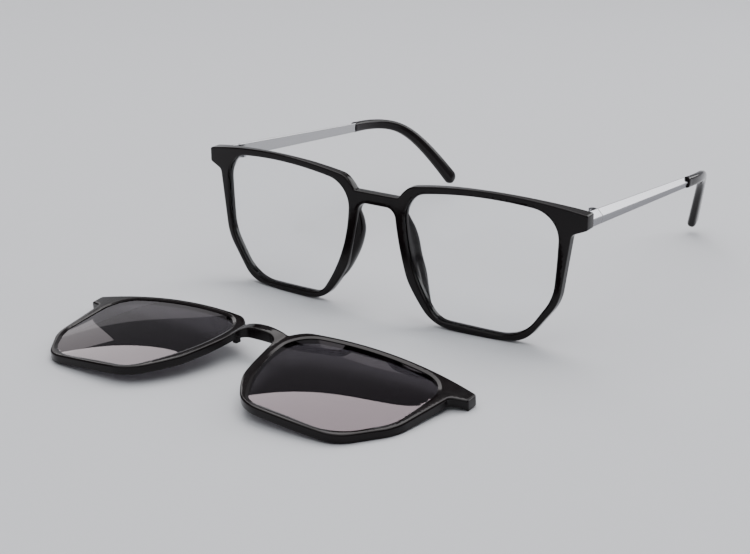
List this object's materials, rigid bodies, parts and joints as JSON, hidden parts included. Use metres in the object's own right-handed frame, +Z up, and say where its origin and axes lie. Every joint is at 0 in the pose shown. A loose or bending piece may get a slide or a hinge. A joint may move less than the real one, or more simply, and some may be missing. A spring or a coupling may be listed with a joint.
{
  "type": "spectacle frame with magnetic sun clip",
  "caption": "Black rectangular spectacle frame with metal temples, standing open, and its magnetic sun clip with dark lenses lying in front of it",
  "frame": {"origin": "middle of the bridge's front face", "axes": "+X wearer's left, +Y back towards the wearer, +Z up"},
  "size_m": [0.152, 0.228, 0.0481],
  "materials": {
    "black_plastic": "polished",
    "brushed_metal": "satin",
    "screw_metal": "bright",
    "magnet": "plated",
    "clear_lens": "clear",
    "dark_lens": "dark tint"
  },
  "bodies": {
    "front": {"front_frame": "black_plastic", "demo_lens_left": "clear_lens", "demo_lens_right": "clear_lens", "end_magnet_left": "magnet", "end_magnet_right": "magnet", "bridge_magnet_left": "magnet", "bridge_magnet_right": "magnet", "hinge_block_left": "brushed_metal", "hinge_block_right": "brushed_metal", "leaf_screws_left": "screw_metal", "leaf_screws_right": "screw_metal", "hinge_screw_left": "screw_metal", "hinge_screw_right": "screw_metal"},
    "temple_left": {"temple_bar_left": "brushed_metal", "temple_tip_left": "black_plastic"},
    "temple_right": {"temple_bar_right": "brushed_metal", "temple_tip_right": "black_plastic"},
    "clip": {"clip_frame": "black_plastic", "clip_lens_left": "dark_lens", "clip_lens_right": "dark_lens", "clip_end_magnet_left": "magnet", "clip_end_magnet_right": "magnet", "clip_bridge_magnet_left": "magnet", "clip_bridge_magnet_right": "magnet"}
  },
  "joints": [
    {"name": "temple_left_fold", "type": "hinge", "parent": "front", "child": "temple_left", "pos_m": [0.0677, 0.018, 0.00192], "axis": [0, 0, 1], "range_deg": [0, 86]},
    {"name": "temple_right_fold", "type": "hinge", "parent": "front", "child": "temple_right", "pos_m": [-0.0677, 0.018, 0.00192], "axis": [0, 0, -1], "range_deg": [0, 80]},
    {"name": "clip_lift", "type": "slide", "parent": "front", "child": "clip", "axis": [0, 0, 1], "range_m": [0, 0.06]}
  ]
}
